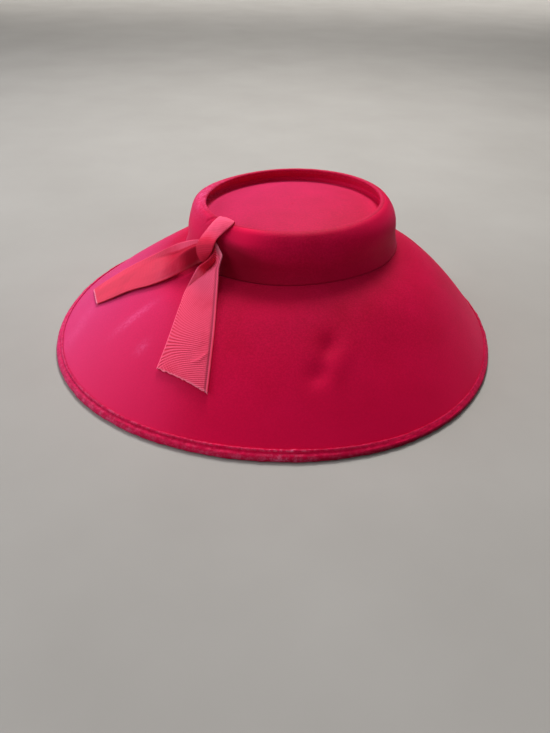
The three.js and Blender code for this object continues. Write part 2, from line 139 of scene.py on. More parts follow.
# Tails of the bow from the knot to the cut end: x, y and height over the felt of their lines
LEFT_TAIL = [  # front edge, ridge, valley, back edge
    ((-56.9, -61.5, 7.0), (-57.4, -61.9, 20.0), (-57.0, -58.0, 18.5), (-56.7, -56.2, 21.0)),
    ((-63.4, -58.3, 4.5), (-63.1, -59.2, 20.3), (-63.4, -53.8, 18.0), (-63.7, -51.7, 21.0)),
    ((-70.7, -60.5, 4.0), (-71.5, -58.2, 18.5), (-72.5, -50.0, 15.0), (-73.2, -45.6, 19.0)),
    ((-78.9, -62.0, 3.6), (-80.0, -57.3, 14.5), (-82.0, -40.9, 9.5), (-83.1, -36.4, 15.0)),
    ((-89.4, -62.3, 3.2), (-91.4, -54.0, 9.0), (-94.2, -30.6, 6.0), (-95.8, -27.0, 10.5)),
    ((-103.7, -59.5, 2.8), (-107.6, -47.5, 5.2), (-111.8, -26.4, 4.4), (-114.0, -18.3, 7.0)),
    ((-123.1, -51.9, 2.8), (-128.3, -37.6, 3.4), (-132.8, -20.5, 3.4), (-137.1, -6.9, 4.6)),
    ((-142.7, -45.5, 2.4), (-148.1, -30.2, 2.6), (-153.0, -13.9, 2.6), (-158.5, 1.9, 3.0)),
    ((-157.3, -37.8, 1.8), (-161.2, -26.3, 1.9), (-165.8, -12.5, 2.0), (-171.7, 5.5, 2.2)),
]
LEFT_PARTS = (12, 14, 10)  # steps of the cloth between those lines
FRONT_TAIL = [  # right edge, fold, left edge
    ((-47.2, -64.9, 23.5), (-47.8, -65.3, 22.5), (-49.0, -66.3, 22.0)),
    ((-44.1, -70.8, 21.3), (-47.0, -73.3, 21.5), (-48.6, -74.0, 20.5)),
    ((-41.4, -76.2, 19.0), (-47.0, -74.3, 16.5), (-52.2, -75.7, 18.0)),
    ((-42.6, -79.7, 16.5), (-48.7, -71.6, 9.0), (-56.6, -77.3, 16.5)),
    ((-43.7, -83.3, 13.2), (-56.4, -74.0, 4.6), (-61.5, -73.9, 11.8)),
    ((-43.7, -90.0, 9.5), (-64.3, -77.8, 2.8), (-65.8, -76.1, 6.8)),
    ((-43.8, -97.8, 5.8), (-69.5, -81.5, 1.8), (-70.5, -81.5, 2.2)),
    ((-43.9, -106.8, 3.0), (-72.4, -94.0, 1.4), (-74.0, -95.6, 1.3)),
    ((-44.2, -126.6, 1.3), (-77.0, -117.5, 1.0), (-79.4, -116.6, 1.0)),
    ((-45.5, -149.5, 1.6), (-81.8, -133.1, 1.2), (-84.3, -131.8, 1.2)),
    ((-46.7, -165.0, 2.6), (-84.9, -141.3, 1.8), (-87.2, -139.6, 1.8)),
]
FRONT_PARTS = (44, 10)
# Slant of the front tail's ribs at each row, and how far they curl at the left edge
FRONT_SKEW = [0.9, 0.9, 0.9, 0.9, 0.9, 0.9, 0.9, 0.85, 0.35, -0.3, -0.55]
FRONT_CURL = [0, 0, 0, 0, 0, 0, 0, 0, 0, -0.05, -0.12]

# Weave of the ribbon
RIB_PITCH = 1.75
RIB_DEPTH = 0.26
SELVEDGE = 2.4  # width of the plain edge of the ribbon

# Camera, from the photograph's perspective
PHOTO_HEIGHT = 733
FOCAL_PIXELS = 648
CAMERA_PLACE = (1.8, -540.0, 316.5)
CAMERA_PITCH = math.radians(34.48)
CAMERA_ROLL = math.radians(1.42)
SENSOR = 36.0


# Fades and marks

UP = np.array([0.0, 0.0, 1.0])


def rise(value, start, span):
    """0 up to a start and 1 past a span from there; a negative span runs down."""
    return np.clip((value - start) / span, 0, 1)


def spot(value, middle, spread):
    """1 in the middle, fading with the spread to both sides."""
    return np.exp(-(((value - middle) / spread) ** 2))


def ease(share):
    """A share from 0 to 1, with soft ends."""
    return share ** 2 * (3 - 2 * share)


def apart(azimuth, place):
    """Angle past a place in degrees, in radians from -pi to pi."""
    return np.angle(np.exp(1j * (azimuth - np.radians(place))))


def mark(azimuth, row):
    """A soft mark round the hat; the row holds its strength, its azimuth and its spread."""
    strength, place, spread = row
    return strength * spot(apart(azimuth, place), 0, math.radians(spread))


def bells(x, y, rows):
    """Soft oval spots in plan: rows of x, y, both half sizes, heading and strength."""
    total = 0.0
    for mark_x, mark_y, along, across, heading, strength in rows:
        turn = math.radians(heading)
        u = (x - mark_x) * math.cos(turn) + (y - mark_y) * math.sin(turn)
        v = (y - mark_y) * math.cos(turn) - (x - mark_x) * math.sin(turn)
        total = total + strength * np.exp(-((u / along) ** 2) - (v / across) ** 2)
    return total


def ripple(place, waves):
    """Sum of sine waves: rows of wavelength, size and phase."""
    return sum(size * np.sin(2 * np.pi * place / length + phase) for length, size, phase in waves)


def unit(vectors):
    return vectors / np.linalg.norm(vectors, axis=-1, keepdims=True)


def turns(count):
    return np.arange(count) * 2 * np.pi / count


# Shape of the brim

SLOPE_STEP = 1e-3  # small step along the brim that gives its slope
FELT_PASSES = 5  # passes of the search for a place on the brim


def edge_radius(azimuth):
    radius = np.full_like(azimuth, EDGE_RADIUS, dtype=float)
    for lobes, size, heading in EDGE_LOBES:
        radius = radius + size * np.cos(lobes * (azimuth - math.radians(heading)))
    return radius


def drift(x, y):
    """Slow unevenness of the blocked felt."""
    height = 0.0
    for heading, length, size, phase in BRIM_DRIFT:
        turn = math.radians(heading)
        place = x * math.cos(turn) + y * math.sin(turn)
        height = height + ripple(place, [(length, size, phase)])
    return height


def brim_middle(azimuth, share):
    """Middle of the brim's felt: share 0 is the foot of the crown, 1 is the edge."""
    radius = CROWN_RADIUS + (edge_radius(azimuth) - CROWN_RADIUS) * share
    x = (1 - share) * CROWN_OFFSET + radius * np.cos(azimuth)
    y = radius * np.sin(azimuth)
    top = BRIM_RISE + CROWN_RADIUS * math.sin(CROWN_LEAN) * np.cos(azimuth)
    back = (1 + np.sin(azimuth)) / 2
    curve = BRIM_CURVE + BRIM_CURVE_RIGHT * np.cos(azimuth) - BRIM_CURVE_BACK * back
    fall = (1 - curve) * share + curve * share * share
    z = top + (EDGE_HEIGHT - top) * fall - bells(x, y, DENTS)
    z = z + drift(x, y) * np.clip(1 - share ** 4, 0, 1)
    z = z - RIGHT_DIP * np.clip(np.cos(azimuth), 0, 1) ** 2 * spot(share, 0, DIP_SHARE)
    return np.stack([x, y, z], axis=-1)


def brim_normal(azimuth, share):
    step = SLOPE_STEP
    outward = brim_middle(azimuth, share + step) - brim_middle(azimuth, share - step)
    round_it = brim_middle(azimuth + step, share) - brim_middle(azimuth - step, share)
    return unit(np.cross(outward, round_it))


def off_brim(azimuth, share, distance):
    normal = brim_normal(azimuth, share)
    return brim_middle(azimuth, share) + normal * np.asarray(distance)[..., None]


def felt_height(x, y):
    """Height of the brim's upper face over places in plan."""
    east = x - CROWN_OFFSET
    azimuth = np.arctan2(y, east)
    share = np.zeros_like(azimuth)
    for _ in range(FELT_PASSES):
        reach = edge_radius(azimuth) - CROWN_RADIUS
        a = CROWN_OFFSET ** 2 - reach ** 2
        b = 2 * (east * CROWN_OFFSET - CROWN_RADIUS * reach)
        c = east ** 2 + y ** 2 - CROWN_RADIUS ** 2
        share = (-b - np.sqrt(b * b - 4 * a * c)) / (2 * a)
        azimuth = np.arctan2(y, east + share * CROWN_OFFSET)
    return brim_middle(azimuth, share)[..., 2] + FELT / 2 / brim_normal(azimuth, share)[..., 2]


# Meshes

def make_piece(name, points, faces, material, attributes=None, uv=None):
    mesh = bpy.data.meshes.new(name)
    mesh.from_pydata((np.asarray(points) * MM).tolist(), [], faces)
    mesh.polygons.foreach_set("use_smooth", np.ones(len(mesh.polygons), dtype=bool))
    for label, values in (attributes or {}).items():
        layer = mesh.attributes.new(label, "FLOAT", "POINT")
        layer.data.foreach_set("value", np.asarray(values, dtype=np.float32).ravel())
    if uv is not None:
        corner = np.empty(len(mesh.loops), dtype=np.int32)
        mesh.loops.foreach_get("vertex_index", corner)
        layer = mesh.uv_layers.new(name="cloth")
        layer.data.foreach_set("uv", np.asarray(uv, dtype=np.float32)[corner].ravel())
    mesh.materials.append(material)
    mesh.update()
    piece = bpy.data.objects.new(name, mesh)
    bpy.context.collection.objects.link(piece)
    return piece


def grid_faces(columns, rows, start=0, ring_columns=False, ring_rows=False, flip=False):
    """Quads of a grid of points numbered start + column * rows + row."""
    i = np.arange(columns if ring_columns else columns - 1)[:, None]
    j = np.arange(rows if ring_rows else rows - 1)[None, :]
    after = (i + 1) % columns
    below = (j + 1) % rows
    corners = [i * rows + j, i * rows + below, after * rows + below, after * rows + j]
    every = [np.broadcast_to(corner, (i.size, j.size)) for corner in corners]
    quads = np.stack(every, axis=-1).reshape(-1, 4) + start
    if flip:
        quads = quads[:, ::-1]
    return quads.tolist()


def ring_piece(name, sections, material, attributes):
    """A closed ring through closed sections[column, point]."""
    columns, count = sections.shape[:2]
    faces = grid_faces(columns, count, ring_columns=True, ring_rows=True)
    return make_piece(name, sections.reshape(-1, 3), faces, material, attributes)


def wall_piece(name, upper, lower, material, attributes, uv):
    """A closed wall between two faces of the same grid."""
    columns, rows = upper.shape[:2]
    size = columns * rows
    faces = grid_faces(columns, rows) + grid_faces(columns, rows, size, flip=True)
    last = rows - 1
    end = (columns - 1) * rows
    for i in range(columns - 1):
        a, b = i * rows, (i + 1) * rows
        faces.append((a + last, size + a + last, size + b + last, b + last))
        faces.append((a, b, size + b, size + a))
    for j in range(rows - 1):
        faces.append((j, size + j, size + j + 1, j + 1))
        faces.append((end + j, end + j + 1, size + end + j + 1, size + end + j))
    points = np.concatenate([upper.reshape(-1, 3), lower.reshape(-1, 3)])
    doubled = {label: np.tile(values.ravel(), 2) for label, values in attributes.items()}
    return make_piece(name, points, faces, material, doubled, np.tile(uv, (2, 1)))


# Materials

MIX_SOCKETS = (0, 6, 7)  # the factor and both colours of a colour mix
MIX_RESULT = 2
GLOSS_TINT = (1.0, 0.6, 0.95)
SHEEN_ROUGHNESS = 0.5
NONE = (0.0, 0.0, 0.0)
ALL = (1.0, 1.0, 1.0)


class Paint:
    """A new material, with short calls for the nodes that it uses."""

    def __init__(self, name):
        self.material = bpy.data.materials.new(name)
        self.material.use_nodes = True
        self.nodes = self.material.node_tree.nodes
        self.shader = self.nodes["Principled BSDF"]
        self.coordinates = self.nodes.new("ShaderNodeTexCoord").outputs

    def fill(self, socket, value):
        """Links a socket to another one, or sets its number or its colour."""
        if isinstance(value, bpy.types.NodeSocket):
            self.material.node_tree.links.new(value, socket)
        elif isinstance(value, tuple):
            socket.default_value = (*value, 1.0)
        else:
            socket.default_value = value

    def fill_all(self, node, settings):
        for socket, value in settings.items():
            self.fill(node.inputs[socket], value)

    def noise(self, place, scale, detail=3.0, roughness=0.55):
        node = self.nodes.new("ShaderNodeTexNoise")
        settings = {"Vector": place, "Scale": scale, "Detail": detail, "Roughness": roughness}
        self.fill_all(node, settings)
        return node.outputs["Fac"]

    def ramp(self, value, stops):
        node = self.nodes.new("ShaderNodeValToRGB")
        while len(node.color_ramp.elements) < len(stops):
            node.color_ramp.elements.new(0.5)
        for element, (place, colour) in zip(node.color_ramp.elements, stops):
            element.position = place
            element.color = (*colour, 1.0)
        self.fill(node.inputs["Fac"], value)
        return node.outputs["Color"]

    def mix(self, factor, first, second):
        node = self.nodes.new("ShaderNodeMix")
        node.data_type = "RGBA"
        self.fill_all(node, dict(zip(MIX_SOCKETS, (factor, first, second))))
        return node.outputs[MIX_RESULT]

    def calculate(self, kind, first, second):
        node = self.nodes.new("ShaderNodeMath")
        node.operation = kind
        node.use_clamp = True
        self.fill_all(node, {0: first, 1: second})
        return node.outputs[0]

    def attribute(self, label):
        node = self.nodes.new("ShaderNodeAttribute")
        node.attribute_name = label
        return node.outputs["Fac"]

    def bump(self, height, strength, distance):
        node = self.nodes.new("ShaderNodeBump")
        self.fill_all(node, {"Height": height, "Strength": strength, "Distance": distance})
        self.fill(self.shader.inputs["Normal"], node.outputs["Normal"])

    def cloth(self, colour, roughness, specular, sheen, sheen_tint):
        """Sets the shader to cloth of a colour, with a weak gloss and sheen."""
        self.fill_all(self.shader, {
            "Base Color": colour,
            "Roughness": roughness,
            "Specular IOR Level": specular,
            "Specular Tint": GLOSS_TINT,
            "Sheen Weight": sheen,
            "Sheen Roughness": SHEEN_ROUGHNESS,
            "Sheen Tint": sheen_tint,
        })


FELT_DEEP = (0.46, 0.0013, 0.03)
FELT_LIGHT = (0.57, 0.0026, 0.05)
# FELT_DARK and FELT_BRIGHT tint the random flecks and also carry the painted shade and painted
# light
FELT_DARK = (0.26, 0.0006, 0.014)
FELT_BRIGHT = (0.88, 0.004, 0.07)
# Pink of the painted sheen on the velour
FELT_PAINTED_SHEEN = (0.69, 0.066, 0.245)
# Pale of the rub marks, also the painted highlight on the crown's crest and painted sheen on its
# shoulder
FELT_RUB_AND_SHEEN = (0.85, 0.13, 0.34)
DARK_FLECKS = (0.22, 0.22, 0.22)
BRIGHT_FLECKS = (0.2, 0.2, 0.2)
SHEEN_TINT = (1.0, 0.28, 0.75)


def velour_material():
    paint = Paint("velour_felt")
    place = paint.coordinates["Object"]
    cloud = paint.noise(place, scale=26, detail=4)
    nap_and_painted_light = paint.noise(place, scale=700, roughness=0.65)
    pile = paint.noise(place, scale=2600, detail=2, roughness=0.6)
    streaks = paint.noise(place, scale=420, detail=4, roughness=0.7)
    tone = paint.ramp(cloud, [(0.3, FELT_DEEP), (0.7, FELT_LIGHT)])
    tone = paint.mix(paint.ramp(nap_and_painted_light, [(0.38, DARK_FLECKS), (0.5, NONE)]), tone, FELT_DARK)
    tone = paint.mix(paint.ramp(nap_and_painted_light, [(0.5, NONE), (0.64, BRIGHT_FLECKS)]), tone, FELT_BRIGHT)
    # Painted light, painted sheen and painted shade from the mesh, then rub marks with a painted
    # highlight and sheen
    tone = paint.mix(paint.attribute("nap_and_painted_light"), tone, FELT_BRIGHT)
    tone = paint.mix(paint.attribute("painted_sheen"), tone, FELT_PAINTED_SHEEN)
    tone = paint.mix(paint.attribute("shade"), tone, FELT_DARK)
    broken = paint.ramp(streaks, [(0.35, NONE), (0.65, ALL)])
    rub_and_painted_sheen = paint.calculate("MULTIPLY", paint.attribute("rub_and_painted_sheen"), broken)
    tone = paint.mix(rub_and_painted_sheen, tone, FELT_RUB_AND_SHEEN)
    paint.cloth(tone, roughness=0.58, specular=0.06, sheen=0.07, sheen_tint=SHEEN_TINT)
    paint.bump(paint.mix(0.5, nap_and_painted_light, pile), strength=0.35, distance=0.0006)
    return paint.material


BINDING_DEEP = (0.36, 0.001, 0.022)
BINDING_LIGHT = (0.66, 0.008, 0.075)
# BINDING_DARK is the colour of the painted shade on the binding
BINDING_DARK = (0.14, 0.0005, 0.008)
BINDING_WORN = (0.82, 0.2, 0.38)


def binding_material():
    paint = Paint("binding_felt")
    place = paint.coordinates["Object"]
    mottle = paint.noise(place, scale=330, detail=5, roughness=0.7)
    nap_and_painted_light = paint.noise(place, scale=1500, roughness=0.6)
    patches = paint.noise(place, scale=240, detail=5, roughness=0.75)
    tone = paint.ramp(mottle, [(0.35, BINDING_DEEP), (0.65, BINDING_LIGHT)])
    # Painted light, painted shade and painted sheen from the mesh; the wear after them is the
    # binding's own
    tone = paint.mix(paint.attribute("nap_and_painted_light"), tone, FELT_BRIGHT)
    tone = paint.mix(paint.attribute("shade"), tone, BINDING_DARK)
    tone = paint.mix(paint.attribute("painted_sheen"), tone, FELT_PAINTED_SHEEN)
    broken = paint.ramp(patches, [(0.45, NONE), (0.68, ALL)])
    wear = paint.calculate("MULTIPLY", paint.attribute("wear"), broken)
    tone = paint.mix(wear, tone, BINDING_WORN)
    paint.cloth(tone, roughness=0.6, specular=0.05, sheen=0.08, sheen_tint=SHEEN_TINT)
    paint.bump(paint.mix(0.5, mottle, nap_and_painted_light), strength=0.45, distance=0.0008)
    return paint.material


# Coral of the ribbon in deep shade, half shade and full light, for painted shade and painted light
# on its ribs and facets; the light one also tints its threads
RIBBON_DEEP = (0.40, 0.002, 0.02)
RIBBON_MIDDLE = (0.72, 0.02, 0.062)
RIBBON_LIGHT = (1.0, 0.107, 0.222)
# Painted shade in the groove beside the selvedge
RIBBON_GROOVE = (0.2, 0.001, 0.012)
# Pale of the frayed cut end, also the painted sheen near the knot and the painted paleness of lit
# parts
RIBBON_FRAY_AND_SHEEN = (0.9, 0.3, 0.42)
RIBBON_TINT = (1.0, 0.5, 0.8)
THREAD_SCALE = (1.0, 6.0, 1.0)  # the threads run across the ribbon
THREAD_TONE = 0.14
FADED_TONE = 0.8


def ribbon_material():
    paint = Paint("grosgrain_ribbon")
    weave = paint.nodes.new("ShaderNodeMapping")
    weave.inputs["Scale"].default_value = THREAD_SCALE
    paint.fill(weave.inputs["Vector"], paint.coordinates["UV"])
    threads = paint.noise(weave.outputs["Vector"], scale=900, detail=2, roughness=0.5)
    fade = paint.noise(paint.coordinates["Object"], scale=40)
    faded = paint.calculate("MULTIPLY", paint.calculate("SUBTRACT", 0.5, fade), FADED_TONE)
    # Painted shading of ribs and facets from the valley attribute, plus a random fading
    painted_shading = paint.calculate("ADD", paint.attribute("valley"), faded)
    tone = paint.ramp(painted_shading, [(0.0, RIBBON_LIGHT), (0.5, RIBBON_MIDDLE), (1.0, RIBBON_DEEP)])
    tone = paint.mix(paint.calculate("MULTIPLY", threads, THREAD_TONE), tone, RIBBON_LIGHT)
    # Painted shade in the groove, then the frayed ends with painted sheen near the knot
    tone = paint.mix(paint.attribute("groove"), tone, RIBBON_GROOVE)
    tone = paint.mix(paint.attribute("fray"), tone, RIBBON_FRAY_AND_SHEEN)
    paint.cloth(tone, roughness=0.6, specular=0.03, sheen=0.02, sheen_tint=RIBBON_TINT)
    paint.bump(threads, strength=0.25, distance=0.0003)
    return paint.material


FLOOR_DEEP = (0.33, 0.315, 0.295)
FLOOR_LIGHT = (0.36, 0.345, 0.325)
FLOOR_ROUGHNESS = 0.8


def floor_material():
    paint = Paint("pale_floor")
    place = paint.coordinates["Object"]
    grain = paint.noise(place, scale=6, detail=4)
    tone = paint.ramp(grain, [(0.3, FLOOR_DEEP), (0.7, FLOOR_LIGHT)])
    paint.fill_all(paint.shader, {"Base Color": tone, "Roughness": FLOOR_ROUGHNESS})
    paint.bump(paint.noise(place, scale=300), strength=0.05, distance=0.0004)
    return paint.material


velour = velour_material()
binding_felt = binding_material()
grosgrain = ribbon_material()


# Felt of the brim

BRIM_COLUMNS = 560
BRIM_ROWS = 100
UNDER_ROWS = 26

# Painted sheen, light and shade: strength, azimuth and spread of each, then its place over the
# brim's width
BRIM_PAINTED_SHEENS = [(0.44, 168, 34, 0.0, 0.6), (0.27, -152, 42, 0.1, 0.25)]  # start and span
# Painted light on the lower front, the left and two spots of the brim
FRONT_BRIGHT = (0.75, -66, 85)
FRONT_BRIGHT_RISE = (0.3, 0.65)  # start and span
FRONT_BRIGHT_POWER = 1.2
LEFT_BRIGHT = (0.36, -136, 28)
BRIGHT_SPOTS = [(0.3, -97, 13, 0.19, 0.1), (0.16, -26, 24, 0.32, 0.16)]  # middle and spread
LEFT_OF_BRIM = (-40, -55)  # x where the tones of the left start, and their span
LEFT_FOOT = 0.15  # share of the width over which they rise from the crown
# Painted shadow of the crown on the front of the brim, darkest at its foot
FOOT_DARK = 0.42  # darkness at the foot of the crown
FOOT_DARK_REACH = 15
FOOT_DARK_SINE = 0.35  # sine of the azimuth at which it starts; it is full at the front


def brim_tones(azimuth, share, x):
    """Where the brim's velour carries painted shade, painted light and painted sheen."""
    left = rise(share, 0, LEFT_FOOT) * ease(rise(x, *LEFT_OF_BRIM))
    painted_sheen = 0.0
    for *row, start, span in BRIM_PAINTED_SHEENS:
        painted_sheen = painted_sheen + mark(azimuth, row) * rise(share, start, span)
    nap_and_painted_light = mark(azimuth, FRONT_BRIGHT) * rise(share, *FRONT_BRIGHT_RISE) ** FRONT_BRIGHT_POWER
    nap_and_painted_light = nap_and_painted_light + mark(azimuth, LEFT_BRIGHT) * left
    for *row, middle, spread in BRIGHT_SPOTS:
        nap_and_painted_light = nap_and_painted_light + mark(azimuth, row) * spot(share, middle, spread)
    front = rise(np.sin(azimuth), FOOT_DARK_SINE, -1 - FOOT_DARK_SINE)
    away = np.clip(share * (EDGE_RADIUS - CROWN_RADIUS), 0, None)
    shade = FOOT_DARK * front / (1 + (away / FOOT_DARK_REACH) ** 4)
    return {"shade": shade, "nap_and_painted_light": np.clip(nap_and_painted_light, 0, 1), "painted_sheen": painted_sheen * left}


def build_brim():
    azimuth = turns(BRIM_COLUMNS)[:, None]
    inner = (BRIM_HOLE - CROWN_RADIUS) / (EDGE_RADIUS - CROWN_RADIUS)
    share = np.linspace(inner, 1, BRIM_ROWS)[None]
    upper = off_brim(azimuth, share, FELT / 2)
    lower = off_brim(azimuth, np.linspace(1, inner, UNDER_ROWS)[None], -FELT / 2)
    tones = brim_tones(azimuth, share, upper[..., 0])
    tones["rub_and_painted_sheen"] = np.clip(bells(upper[..., 0], upper[..., 1], RUB_MARKS), 0, 1)
    plain = np.zeros(lower.shape[:2])
    tones = {label: np.concatenate([tone, plain], axis=1) for label, tone in tones.items()}
    return ring_piece("brim_velour", np.concatenate([upper, lower], axis=1), velour, tones)


# Felt of the crown

CROWN_COLUMNS = 600
COLLAR_POINTS = 14
SIDE_POINTS = 30
SHOULDER_POINTS = 24
CREST_POINTS = 10
WALL_POINTS = 12
FILLET_POINTS = 8
TIP_POINTS = 34
INSIDE_STEP = 4  # one in so many points of the profile is kept on the inside
FOOT_INSET = 0.7  # the inside starts higher by this share of the felt
RIM_CLEARANCE = 0.3  # where the inside of the collar ends before the back of the well


def arc(x, y, radius, start, stop, count):
    angle = np.linspace(start, stop, count)
    return np.stack([x + radius * np.cos(angle), y + radius * np.sin(angle)], axis=-1)


def crown_face(inset):
    """Profile of one face of the crown, without its flare, from the foot to the tip's middle."""
    floor = CREST_HEIGHT - WELL_DEPTH
    wall_top = CREST_HEIGHT - CREST_ROUND
    wall_low = floor + WELL_FILLET
    fillet_x = WELL_RADIUS + UNDERCUT - WELL_FILLET
    shoulder = CREST_HEIGHT - SHOULDER_ROUND
    side_low = shoulder + (SHOULDER_ROUND - SIDE_ROUND) * math.sin(SHOULDER_ANGLE)
    side_x = COLLAR_RADIUS - SIDE_ROUND
    top = np.pi / 2

    def wall_at(height):
        return WELL_RADIUS + inset + UNDERCUT * rise(height, wall_top, wall_low - wall_top)

    heights = np.linspace(FOOT_INSET * inset, side_low, COLLAR_POINTS)[:-1]
    collar = np.concatenate([
        np.stack([0 * heights + COLLAR_RADIUS - inset, heights], axis=-1),
        arc(side_x, side_low, SIDE_ROUND - inset, 0, SHOULDER_ANGLE, SIDE_POINTS),
        arc(CREST_RADIUS, shoulder, SHOULDER_ROUND - inset,
            SHOULDER_ANGLE, top, SHOULDER_POINTS)[1:],
    ])
    if inset > CREST_ROUND:
        collar = collar[collar[:, 0] > wall_at(collar[:, 1]) + RIM_CLEARANCE]
        heights = np.linspace(collar[-1, 1], wall_low, WALL_POINTS)[:-1]
    else:
        crest = arc(CREST_RADIUS, wall_top, CREST_ROUND, top, np.pi, CREST_POINTS)[1:]
        collar = np.concatenate([collar, crest])
        heights = np.linspace(wall_top, wall_low, WALL_POINTS)[1:-1]
    wall = np.stack([wall_at(heights), heights], axis=-1)
    fillet = arc(fillet_x, wall_low, WELL_FILLET + inset, 0, -np.pi / 2, FILLET_POINTS)
    outer = 1 - np.linspace(0, 1, TIP_POINTS)[1:]
    tip = np.stack([fillet_x * outer, floor - inset + TIP_DOME * (1 - outer ** 2)], axis=-1)
    return np.concatenate([collar, wall, fillet, tip])


def rim_lift(azimuth, radius, height):
    half = WELL_RADIUS / 2
    lift = sum(mark(azimuth, row) for row in RIM_WAVES)
    return lift * height / CREST_HEIGHT * ease(rise(radius, half, half))


BACK_FOOT = felt_height(np.array([CROWN_OFFSET]), np.array([CROWN_RADIUS]))
CROWN_HEIGHT_AT = float(BACK_FOOT[0]) + CROWN_SET


def from_crown(points):
    """Places in the crown's frame, in the frame of the hat."""
    x, y, z = points[..., 0], points[..., 1], points[..., 2]
    x = x + CROWN_SHIFT * z / CREST_HEIGHT
    cos, sin = math.cos(CROWN_LEAN), math.sin(CROWN_LEAN)
    east = CROWN_OFFSET + x * cos - z * sin
    return np.stack([east, y, CROWN_HEIGHT_AT + x * sin + z * cos], axis=-1)


# Rubbing, painted highlight, sheen, light and shade on the crown: strength, azimuth and spread of
# each
# Rubbed pale with painted sheen on the left of the rim's shoulder
SHOULDER_RUB_AND_SHEEN = (0.75, 172, 26)
# Painted light on the right of the collar, beside the bow and on the left side
RIGHT_BRIGHT = (0.5, -20, 40)
BOW_BRIGHT = (0.75, -116, 12)
LEFT_SIDE = (1.0, -160, 24)
LEFT_SIDE_LOW = 0.9  # its brightness below the rim
LEFT_SIDE_LESS = 0.62  # how much less that is on the rim
# Painted shade on the front of the collar and painted shadow of the bow on it
FRONT_DARK = (0.5, -75, 50)
BOW_DARK = (0.95, -120, 19)
BOW_PLACE = -125
BOW_DARK_TOP = 29  # height of that darkness at the bow
BOW_DARK_FALL = 0.35  # how much it falls for each degree past the bow
# Painted sheen on the left side of the crown
SIDE_PAINTED_SHEEN = (0.2, 185, 35)
# Rubbed pale with a painted highlight along the crest, more at the back where the light comes from
CREST_RUB_AND_HIGHLIGHT = 0.09
CREST_RUB_AND_HIGHLIGHT_BACK = 0.06  # more of it at the back, less at the front
CREST_RUB_AND_HIGHLIGHT_DEPTH = 4  # how far down from the crest it reaches
SHOULDER_RUB_AND_SHEEN_PLACE = 4  # how far outside the crest the shoulder is rubbed most
# Painted light on the wall of the well
WELL_BRIGHT = 0.3
# Painted sheen on the tip, more at its back and left
TIP_PAINTED_SHEEN = 0.24
TIP_MIDDLE = 0.6  # share of that glow in the middle of the tip
TIP_BACK = 0.25  # more of it at the back
TIP_LEFT = 0.4  # more of it on the left

# Where those tones start and end, as radii and heights in the crown's frame
TIP_RADIUS = 72
BOW_BRIGHT_RADIUS = 77
SIDE_RADIUS = 78
DARK_RADIUS = 80
WELL_LOW = 20
RIM_LOW = 25


def crown_tones(azimuth, radius, height, outside):
    """Where the crown's velour is rubbed pale with a painted highlight and sheen, and carries
    painted shade, light and sheen.
    """
    side = radius > SIDE_RADIUS
    rub_and_painted_sheen = CREST_RUB_AND_HIGHLIGHT + CREST_RUB_AND_HIGHLIGHT_BACK * np.sin(azimuth)
    rub_and_painted_sheen = rub_and_painted_sheen * spot(radius, CREST_RADIUS, spread=1.3) * (height > CREST_HEIGHT - CREST_RUB_AND_HIGHLIGHT_DEPTH)
    shoulder = spot(radius, CREST_RADIUS + SHOULDER_RUB_AND_SHEEN_PLACE, spread=6) * (height > RIM_LOW)
    rub_and_painted_sheen = rub_and_painted_sheen + mark(azimuth, SHOULDER_RUB_AND_SHEEN) * shoulder

    past_bow = np.degrees(apart(azimuth, BOW_PLACE))
    bow_shadow = rise(height, BOW_DARK_TOP - BOW_DARK_FALL * past_bow, span=-6)
    bow_shadow = mark(azimuth, BOW_DARK) * bow_shadow * rise(past_bow, start=-14, span=4)
    low = mark(azimuth, FRONT_DARK) * rise(height, start=30, span=-30)
    shade = np.clip(low + bow_shadow, 0, 1) * (radius > DARK_RADIUS)

    well = (radius > WELL_RADIUS - 0.5) * (radius < DARK_RADIUS) * (height > WELL_LOW)
    well = WELL_BRIGHT * rise(height, CREST_HEIGHT - CREST_ROUND, span=-5) * well
    lit = mark(azimuth, BOW_BRIGHT) * rise(height, start=24, span=4) * (radius > BOW_BRIGHT_RADIUS)
    left = LEFT_SIDE_LOW - LEFT_SIDE_LESS * rise(height, RIM_LOW, span=8)
    lit = np.clip(lit + left * mark(azimuth, LEFT_SIDE) * side, 0, 1)
    nap_and_painted_light = np.clip(well + mark(azimuth, RIGHT_BRIGHT) * side + lit, 0, 1)

    slant = (TIP_BACK * np.sin(azimuth) - TIP_LEFT * np.cos(azimuth)) / TIP_RADIUS
    tip = TIP_PAINTED_SHEEN * np.clip(TIP_MIDDLE + slant * radius, 0, 1) * (radius < TIP_RADIUS)
    painted_sheen = tip + mark(azimuth, SIDE_PAINTED_SHEEN) * rise(height, start=38.4, span=-24) * side
    tones = {"rub_and_painted_sheen": rub_and_painted_sheen, "shade": shade, "nap_and_painted_light": nap_and_painted_light, "painted_sheen": painted_sheen}
    return {label: tone * outside for label, tone in tones.items()}


def crown_folds(azimuth, radius, height):
    """How far the crown's felt is pushed out by its bulges and down by its tuck."""
    fuller = sum(mark(azimuth, row) for row in RIM_BULGES)
    outward = fuller * spot(height, CREST_HEIGHT - BULGE_BELOW, BULGE_HEIGHT)
    outward = outward * rise(radius, CREST_RADIUS, BULGE_START)
    (far_turn, far), (near_turn, near), wide, depth = TUCK
    line = near_turn + (far_turn - near_turn) * rise(radius, near, far - near)
    across = np.degrees(apart(azimuth, line))
    reach = rise(radius, near - TUCK_FADE, TUCK_FADE) * rise(radius, far + TUCK_FADE, -TUCK_FADE)
    return outward, depth * spot(across, 0, wide) * reach * (height > RIM_LOW)


